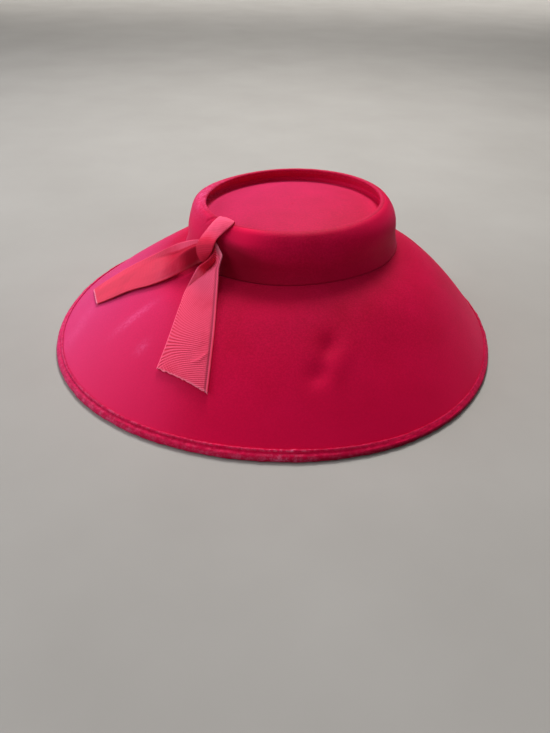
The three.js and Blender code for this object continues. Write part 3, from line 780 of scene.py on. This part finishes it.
def build_crown():
    inner = crown_face(FELT)
    inner = inner[np.unique(np.append(np.arange(0, len(inner), INSIDE_STEP), len(inner) - 1))]
    profile = np.concatenate([inner[::-1], crown_face(0)])
    ring = profile[1:-1]
    azimuth = turns(CROWN_COLUMNS)[:, None]
    height = ring[None, :, 1] + 0 * azimuth
    settle = rise(height, FLARE_HEIGHT, -FLARE_HEIGHT) ** 2
    outward, down = crown_folds(azimuth, ring[None, :, 0], height)
    radius = ring[None, :, 0] + FOOT_FLARE * settle + outward
    points = from_crown(np.stack([
        radius * np.cos(azimuth),
        radius * np.sin(azimuth),
        height + rim_lift(azimuth, radius, height) - down,
    ], axis=-1))
    foot = len(inner) - 1
    seat = felt_height(points[:, foot, 0], points[:, foot, 1]) + SEAT_GAP - points[:, foot, 2]
    points[..., 2] += seat[:, None] * settle
    poles = from_crown(np.array([[0, 0, profile[0, 1]], [0, 0, profile[-1, 1]]]))
    count = len(ring)
    faces = grid_faces(CROWN_COLUMNS, count, ring_columns=True)
    low = CROWN_COLUMNS * count
    for i in range(CROWN_COLUMNS):
        after = (i + 1) % CROWN_COLUMNS
        faces.append((low, i * count, after * count))
        faces.append((low + 1, after * count + count - 1, i * count + count - 1))
    every = np.concatenate([points.reshape(-1, 3), poles])
    tones = crown_tones(azimuth, radius, height, np.arange(count)[None] >= foot)
    tones = {label: np.append(tone.ravel(), [0, 0]) for label, tone in tones.items()}
    return make_piece("crown_velour", every, faces, velour, tones)


# Bound edge

BINDING_COLUMNS = 1260
GROOVE_END = 2.45  # how far in from its border the groove of the seam ends
ROUND_PARTS = np.linspace(0.04, 1, 16)  # places on the round of the edge, as shares of a half turn
ROUND_ROLL = 0.8
RIDGE_WAVES = [(5.1, 0.10, 0.3), (8.3, 0.12, 1.9), (13.7, 0.10, 4.1), (31.0, 0.08, 2.2)]
ROLL_WAVES = [(7.7, 0.08, 2.5), (12.9, 0.12, 0.8), (27.0, 0.12, 5.0), (64.0, 0.12, 1.1)]


def seam_share(azimuth):
    """1 where the seam draws a groove into the binding, 0 on the right, where none shows."""
    return rise(np.abs(np.degrees(apart(azimuth, PLAIN_PLACE))), PLAIN_SPREAD, PLAIN_FADE)


def binding_sections(azimuth):
    """Closed sections of the binding, and how many of their points are on its upper face."""
    run = azimuth * EDGE_RADIUS
    slot = FELT / 2 + GAP
    start = brim_middle(azimuth, 0 * azimuth)
    end = brim_middle(azimuth, 0 * azimuth + 1)
    span = np.linalg.norm(start - end, axis=-1)
    ridge = ripple(run, RIDGE_WAVES)
    roll = ripple(run, ROLL_WAVES)
    seam = seam_share(azimuth)
    pull = seam * (0.5 + 0.5 * np.cos(2 * np.pi * run / STITCH_PITCH))
    width = BINDING_WIDTH - PLAIN_NARROWER * (1 - seam)
    inner = width - GROOVE_END

    def along_brim(rows):
        return [off_brim(azimuth, 1 - reach / span, height) for reach, height in rows]

    # Distance in from the edge and height over the middle of the felt, from the border on
    upper = along_brim([
        (width + 0.15 * ridge, slot - 0.2),
        (width + 0.25 + 0.6 * ridge, slot + 0.35),
        (width + 0.05 + 0.6 * ridge, slot + 0.62 + 0.13 * seam + 0.6 * ridge),
        (width - 0.55 + 0.4 * ridge, slot + 0.8 + 0.25 * seam + ridge),
        (width - 1.15 + 0.3 * ridge, slot + 0.9 + ridge - 0.2 * pull),
        (width - 1.6, slot + 0.98 - 0.48 * seam - 0.25 * pull),
        (width - 2.0, slot + 1.04 - 0.74 * seam - 0.22 * pull),
        (inner, slot + 1.1 - 0.48 * seam - 0.2 * pull),
        (0.76 * inner, slot + 1.14 - 0.14 * seam + 0.5 * roll - 0.1 * pull),
        (0.5 * inner, slot + BINDING + 0.12 + roll),
        (0.28 * inner, slot + BINDING + 0.14 + roll),
    ])
    normal = brim_normal(azimuth, 0 * azimuth + 1)
    outward = np.stack([np.cos(azimuth), np.sin(azimuth), 0 * azimuth], axis=-1)
    slope = np.arctan2((normal * outward).sum(-1), normal[..., 2])

    def round_point(part):
        angle = np.pi / 2 - slope - math.pi * part
        size = EDGE_ROUND + ROUND_ROLL * roll * math.sin(math.pi * part)
        point = end + outward * (size * np.cos(angle))[..., None]
        point[..., 2] = np.maximum(EDGE_HEIGHT + size * np.sin(angle), 0.0)
        return point

    rounds = [round_point(part) for part in ROUND_PARTS]
    down = UP * np.sin(slope)[..., None] - normal[..., 2:] * outward
    under = along_brim([
        (0.6 * width, -slot - BINDING),
        (width - 0.4, -slot - BINDING + 0.1),
        (width, -slot - BINDING / 2),
        (width - 0.1, -slot),
    ])
    inside = [end - down * GAP - normal * slot, end - down * GAP + normal * slot]
    border = along_brim([(width - 0.4, slot - 0.1)])
    return np.stack(upper + rounds + under + inside + border, axis=1), len(upper)


# Wear, painted light, shade and sheen on the binding: strength, azimuth and spread of each
WORN_PLACES = [(1.0, -86.5, 5.5), (0.4, -100, 30), (0.5, -130, 22), (0.5, -168, 40)]
WORN_ALL_ROUND = 0.1
# Painted light on the front of the edge and on the face of its right side
EDGE_BRIGHT = (0.5, -95, 28)
FACE_BRIGHT = (0.5, -48, 26)
# Painted shade on a short stretch of the front right and on the lower part of the round, which
# faces away from the light
EDGE_DARK = (0.2, -76, 8)
LOW_DARK = (0.95, -55, 45)
# Painted sheen on the left of the edge
EDGE_PAINTED_SHEEN = (0.25, 185, 40)

# Points of a section: those of its ridge, the first past the groove, how many are at its border
RIDGE_POINTS = slice(2, 5)
FACE_POINT = 8
BORDER_POINTS = 4

# Shares of those tones on the points, or on the first and the last point of the round
RIDGE_WEAR = 0.75
FACE_WEAR = 0.5
ROUND_WEAR = (0.9, 0.2)
# Shares of the painted shade on the face and the round, and of the painted light on the border
FACE_LOW = 0.3
ROUND_LOW = (0.6, 8)  # full from a short way down
BORDER_BRIGHT = 0.2


def build_binding():
    azimuth = turns(BINDING_COLUMNS)
    sections, upper = binding_sections(azimuth)
    azimuth = azimuth[:, None]
    count = sections.shape[1]
    rounds = len(ROUND_PARTS)
    on_round = slice(upper, upper + rounds)
    worn = np.zeros(count)
    worn[RIDGE_POINTS] = RIDGE_WEAR
    worn[FACE_POINT:upper] = FACE_WEAR
    worn[on_round] = np.linspace(*ROUND_WEAR, rounds)
    low = np.zeros(count)
    low[upper - 1] = FACE_LOW
    low[on_round] = np.clip(np.linspace(*ROUND_LOW, rounds), 0, 1)
    face = np.ones(count)
    face[:BORDER_POINTS] = BORDER_BRIGHT
    wear = WORN_ALL_ROUND
    for row in WORN_PLACES:
        wear = np.maximum(wear, mark(azimuth, row))
    return ring_piece("edge_binding_felt", sections, binding_felt, {
        "wear": wear * worn,
        "nap_and_painted_light": mark(azimuth, EDGE_BRIGHT) + mark(azimuth, FACE_BRIGHT) * face,
        "shade": np.maximum(mark(azimuth, EDGE_DARK), mark(azimuth, LOW_DARK) * low),
        "painted_sheen": mark(azimuth, EDGE_PAINTED_SHEEN) * np.ones(count),
    })


# Ribbon

LEAST_GAP = 1e-4  # keeps the curve defined where two of its points meet


def spline(points, count):
    """Centripetal Catmull-Rom curve through points, at even steps of its parameter."""
    points = np.asarray(points, dtype=float)
    ends = np.concatenate([[2 * points[0] - points[1]], points, [2 * points[-1] - points[-2]]])
    place = np.linspace(0, len(points) - 1, count)
    span = np.minimum(place.astype(int), len(points) - 2)
    t = (place - span)[:, None]
    p0, p1, p2, p3 = (ends[span + k] for k in range(4))

    def gap(first, second):
        return np.maximum(((second - first) ** 2).sum(-1, keepdims=True) ** 0.25, LEAST_GAP)

    d0, d1, d2 = gap(p0, p1), gap(p1, p2), gap(p2, p3)
    m1 = ((p1 - p0) / d0 - (p2 - p0) / (d0 + d1) + (p2 - p1) / d1) * d1
    m2 = ((p2 - p1) / d1 - (p3 - p1) / (d1 + d2) + (p3 - p2) / d2) * d1
    square = -3 * p1 + 3 * p2 - 2 * m1 - m2
    cube = 2 * p1 - 2 * p2 + m1 + m2
    return p1 + m1 * t + square * t ** 2 + cube * t ** 3


def grid_normals(grid):
    along = np.gradient(grid, axis=0)
    across = np.gradient(grid, axis=1)
    return unit(np.cross(across, along))


def lengths(points, axis):
    step = np.linalg.norm(np.diff(points, axis=axis), axis=-1)
    zero = np.zeros_like(np.take(step, [0], axis=axis))
    return np.concatenate([zero, np.cumsum(step, axis=axis)], axis=axis)


RIB_ROUND = 0.8  # power that rounds the ribs
RIB_RISE = 1.4
BEAD_WIDTH = 0.8  # beads along the first edge
BEAD_RISE = 0.6
BEAD_WAVE = 1.2  # how much higher they are at each rib
PIT_WIDTH = 0.95  # half width of the groove beside the selvedge
FRAY_LENGTH = 1.6  # length of the pale threads at the cut end
# Painted sheen along the first edge near the knot
KNOT_EDGE_SHEEN = 0.6  # paleness of the first edge near the knot
KNOT_EDGE_SHEEN_WIDTH = 2.4
# Painted shade in the valleys between the ribs, and a darker selvedge
VALLEY_TONE = 0.65
SELVEDGE_TONE = 0.6
# Painted shade in the groove beside the selvedge
GROOVE_BROKEN = 0.35  # how much the ribs break up the groove
GROOVE_START = 0.45  # its darkness at the knot
GROOVE_FADE = 150  # it would be darker by 1 over this length
UNDER_RELIEF = 0.5  # share of the relief on the hidden side


def ribbon_piece(name, middle, facing, depth, fray, painted_shading, pale=0.0, skew=0.0, curl=0.0):
    """A ribbon with ribs across it on a surface middle[along, across], showing the side facing."""
    rows = middle.shape[1]
    normal = grid_normals(middle)
    side = np.sign((normal * facing).sum(-1).mean())
    normal = side * normal
    run = lengths(middle, 0)[:, rows // 2][:, None]
    wide = lengths(middle, 1)
    full = wide[:, -1:]
    strength = depth / RIB_DEPTH
    place = run + skew * (wide - full / 2) + curl * full * (wide / full) ** 3
    ribs = rise(wide, SELVEDGE * 1.3, SELVEDGE * 0.2) * rise(full - wide, start=0.5, span=0.5)
    wave = np.abs(np.cos(np.pi * place / RIB_PITCH))
    beads = rise(wide, BEAD_WIDTH, -BEAD_WIDTH)
    pits = np.exp(-(((wide - SELVEDGE) / PIT_WIDTH) ** 4))
    high = ribs * wave ** RIB_ROUND * RIB_RISE
    relief = depth * (high + beads * (BEAD_RISE + BEAD_WAVE * wave) - pits)
    selvedge = rise(wide, SELVEDGE * 0.6, SELVEDGE * -0.3)
    valley = ribs * (1 - wave) ** RIB_ROUND + SELVEDGE_TONE * selvedge
    upper = middle + normal * (RIBBON / 2 + relief)[..., None]
    lower = middle - normal * (RIBBON / 2 + UNDER_RELIEF * relief)[..., None]
    end = fray * rise(run[-1] - run, FRAY_LENGTH, -FRAY_LENGTH)
    knot = KNOT_EDGE_SHEEN * spot(wide, 0, KNOT_EDGE_SHEEN_WIDTH) * rise(run, start=28.8, span=-18) * strength
    groove = pits * (1 - GROOVE_BROKEN * wave)
    uv = np.stack([wide * MM, run * MM + 0 * wide], axis=-1).reshape(-1, 2)
    # valley holds the painted shade of the ribs and the painted shading of the facets, groove the
    # painted shade of the groove, fray the frayed end with painted sheen and paleness
    tones = {
        "valley": np.clip(VALLEY_TONE * valley * strength + painted_shading, 0, 1),
        "groove": groove * strength * np.clip(GROOVE_START + run / GROOVE_FADE, 0, 1),
        "fray": np.maximum(np.maximum(end, knot), pale),
    }
    if side < 0:
        upper, lower = lower, upper
    return wall_piece(name, upper, lower, grosgrain, tones, uv)


TAIL_COLUMNS = 620
SOFT_PASSES = 3  # how often the folds are smoothed
JAG_COLUMNS = 8  # columns over which the unevenness of a cut end fades
END_JAGS = [(1.75, 0.28, 0.4), (0.83, 0.16, 1.3), (6.1, 0.2, 2.2)]
WRINKLES = [  # on the front tail: x, y, half sizes along and across the heading, heading, rise
    (-51.3, -141.4, 4.0, 1.2, 32, 0.7),
    (-56.5, -143.4, 3.2, 1.2, 5, 0.55),
    (-55.0, -136.0, 7.0, 3.6, 25, -0.5),
]


def on_felt(points):
    raised = points.copy()
    raised[..., 2] += felt_height(points[..., 0], points[..., 1])
    return raised


def tail_middle(rows, parts, crowd):
    """Middle of a tail's cloth between its lines; crowd packs steps towards the first line."""
    lines = [spline([row[k] for row in rows], TAIL_COLUMNS) for k in range(len(parts) + 1)]
    strips = []
    for first, second, count in zip(lines, lines[1:], parts):
        share = ((np.arange(count) / count) ** crowd)[None, :, None]
        strips.append(first[:, None] + (second - first)[:, None] * share)
    cloth = np.concatenate(strips + [lines[-1][:, None]], axis=1)
    for _ in range(SOFT_PASSES):
        cloth[:, 1:-1] = (cloth[:, :-2] + 2 * cloth[:, 1:-1] + cloth[:, 2:]) / 4
    cloth[..., 2] += bells(cloth[..., 0], cloth[..., 1], WRINKLES)
    middle = on_felt(cloth)
    along = unit(middle[-1] - middle[-JAG_COLUMNS])
    jag = ripple(lengths(middle[-1:], 1)[0], END_JAGS)
    fade = np.linspace(0, 1, JAG_COLUMNS)[:, None, None]
    middle[-JAG_COLUMNS:] += fade * jag[None, :, None] * along[None]
    return middle


LEFT_RIB_DEPTH = 0.06
LEFT_FRAY = 0.9
# Painted sheen on the lit outer part of the left tail
LEFT_PALE = 0.1
FRONT_CROWD = 1.5
FRONT_FRAY = 0.5
# Painted sheen over the front tail outside its fold
FRONT_PALE = 0.04
# Painted shade in the front tail's fold and painted light near its knot
FOLD_PAINTED_SHADE = 0.5
KNOT_BRIGHT = 0.5

# Painted shading of the left tail's front, middle and back facets: shares of its length, values
# there
LEFT_FACETS = [
    ([0.24, 0.36, 0.5, 0.62], [1.0, 0.4, 0.34, 0.52]),
    ([0.3, 0.38, 0.5, 0.62], [0.95, 0.88, 0.68, 0.6]),
    ([0.3, 0.6], [0.08, 0.42]),
]


def build_left_tail():
    run = np.linspace(0, 1, TAIL_COLUMNS)[:, None]
    row = np.arange(sum(LEFT_PARTS) + 1)[None]
    front, middle, back = (np.interp(run, *facet) for facet in LEFT_FACETS)
    painted_shading = front + (middle - front) * rise(row, start=10, span=4)
    painted_shading = painted_shading + (back - middle) * rise(row, start=25, span=4)
    pale = LEFT_PALE * rise(run, start=0.42, span=0.12)
    cloth = tail_middle(LEFT_TAIL, LEFT_PARTS, 1.0)
    return ribbon_piece("bow_tail_left_grosgrain", cloth, UP, LEFT_RIB_DEPTH, LEFT_FRAY, painted_shading, pale)


def build_front_tail():
    run = np.linspace(0, 1, TAIL_COLUMNS)[:, None]
    row = np.arange(sum(FRONT_PARTS) + 1)[None]
    fold = rise(row, start=34, span=8) * rise(run, start=0.44, span=-0.08)
    painted_shading = FOLD_PAINTED_SHADE * fold - KNOT_BRIGHT * rise(run, start=0.66, span=-0.3) * (1 - fold)
    pale = FRONT_PALE * (1 - fold)
    stations = np.linspace(0, 1, len(FRONT_TAIL))
    skew = np.interp(run, stations, FRONT_SKEW)
    curl = np.interp(run, stations, FRONT_CURL)
    cloth = tail_middle(FRONT_TAIL, FRONT_PARTS, FRONT_CROWD)
    return ribbon_piece(
        "bow_tail_front_grosgrain", cloth, UP, RIB_DEPTH, FRONT_FRAY, painted_shading, pale, skew, curl)


STRAP_COLUMNS = 180
STRAP_GRID_ROWS = 24
STRAP_FACING = np.array([-0.6, -0.7, 0.5])
STRAP_RIB_DEPTH = 0.07
# Painted shade on the lower part of the strap, which faces away from the light
STRAP_PAINTED_SHADING = ([0.4, 0.52, 0.6, 1], [0, 0.2, 0.57, 0.85])  # shares of its length, and values there


def strap_edge(index):
    turn, radius, height = np.array([row[index] for row in STRAP_ROWS]).T
    turn = np.radians(turn)
    places = np.stack([radius * np.cos(turn), radius * np.sin(turn), height], axis=-1)
    return spline(places, STRAP_COLUMNS)


def build_strap():
    left = strap_edge(0)
    right = strap_edge(1)
    bulge = spline([(row[2], 0, 0) for row in STRAP_ROWS], STRAP_COLUMNS)[:, :1]
    run = np.gradient(left, axis=0) + np.gradient(right, axis=0)
    up = unit(np.cross(run, right - left))
    share = np.linspace(0, 1, STRAP_GRID_ROWS)[None, :]
    arch = bulge * 4 * share * (1 - share)
    flat = left[:, None] + (right - left)[:, None] * share[..., None]
    middle = from_crown(flat + up[:, None] * arch[..., None])
    painted_shading = np.interp(np.linspace(0, 1, STRAP_COLUMNS), *STRAP_PAINTED_SHADING)[:, None]
    return ribbon_piece("bow_loop_grosgrain", middle, STRAP_FACING, STRAP_RIB_DEPTH, 0.0, painted_shading)


brim = build_brim()
crown = build_crown()
binding = build_binding()
tail_left = build_left_tail()
tail_front = build_front_tail()
strap = build_strap()

PIECES = [
    (brim, "brim", "felt"),
    (crown, "crown", "felt"),
    (binding, "edge_binding", "binding"),
    (strap, "bow_loop", "ribbon"),
    (tail_left, "bow_tail_left", "ribbon"),
    (tail_front, "bow_tail_front", "ribbon"),
]
for piece, node, slot in PIECES:
    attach(piece, "root")
    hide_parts(node)


# Floor, light and camera

FLOOR_HALF = 6000.0
FLOOR_STEPS = 24


def build_floor():
    line = np.linspace(-FLOOR_HALF, FLOOR_HALF, FLOOR_STEPS + 1)
    x, y = np.meshgrid(line, line, indexing="ij")
    points = np.stack([x, y, 0 * x], axis=-1)
    faces = grid_faces(FLOOR_STEPS + 1, FLOOR_STEPS + 1, flip=True)
    return make_piece("floor", points.reshape(-1, 3), faces, floor_material())


build_floor()

HAT = (0, 0, 0.07)
FAR_FLOOR = (0, 3.6, 0)
WARM = (1.0, 0.98, 0.95)
NEUTRAL = (1.0, 0.99, 0.98)
COOL = (0.95, 0.99, 1.08)
LIGHTS = [  # name, place, aim, size, power, colour, spread
    ("lamp", (0.1, 1.0, 1.5), HAT, (0.5, 0.5), 31, WARM, 180),
    ("ceiling", (0.0, 0.2, 1.8), HAT, (1.6, 1.6), 9, NEUTRAL, 180),
    ("left_wall", (-1.6, 0.0, 0.7), HAT, (1.8, 1.2), 18, COOL, 180),
    ("room", (0.0, -1.8, 0.9), HAT, (2.0, 1.2), 7, NEUTRAL, 180),
    ("far_floor", (0.0, 3.5, 2.4), FAR_FLOOR, (6.0, 2.4), 84, WARM, 80),
]
for name, place, aim, size, power, colour, spread in LIGHTS:
    light = bpy.data.lights.new(name, "AREA")
    light.shape = "RECTANGLE"
    light.size, light.size_y = size
    light.energy = power
    light.color = colour
    light.spread = math.radians(spread)
    lamp = bpy.data.objects.new(name, light)
    lamp.location = place
    lamp.rotation_euler = (Vector(aim) - Vector(place)).to_track_quat("-Z", "Y").to_euler()
    bpy.context.collection.objects.link(lamp)

WORLD_COLOUR = (0.9, 0.93, 1.0, 1.0)
WORLD_STRENGTH = 0.03

world = bpy.data.worlds.new("studio")
world.use_nodes = True
background = world.node_tree.nodes["Background"]
background.inputs["Color"].default_value = WORLD_COLOUR
background.inputs["Strength"].default_value = WORLD_STRENGTH
scene = bpy.context.scene
scene.world = world
scene.view_settings.view_transform = "Standard"


def build_camera():
    cos, sin = math.cos(CAMERA_PITCH), math.sin(CAMERA_PITCH)
    forward = Vector((0, cos, -sin))
    level_up = Vector((0, sin, cos))
    level_right = Vector((1, 0, 0))
    right = level_right * math.cos(CAMERA_ROLL) + level_up * math.sin(CAMERA_ROLL)
    up = level_up * math.cos(CAMERA_ROLL) - level_right * math.sin(CAMERA_ROLL)
    camera = bpy.data.cameras.new("camera")
    camera.sensor_width = SENSOR
    camera.lens = SENSOR * FOCAL_PIXELS / PHOTO_HEIGHT
    camera.clip_start = 0.01
    holder = bpy.data.objects.new("camera", camera)
    place = Vector(CAMERA_PLACE) * MM
    holder.matrix_world = Matrix((
        (right.x, up.x, -forward.x, place.x),
        (right.y, up.y, -forward.y, place.y),
        (right.z, up.z, -forward.z, place.z),
        (0, 0, 0, 1),
    ))
    bpy.context.collection.objects.link(holder)
    scene.camera = holder


build_camera()
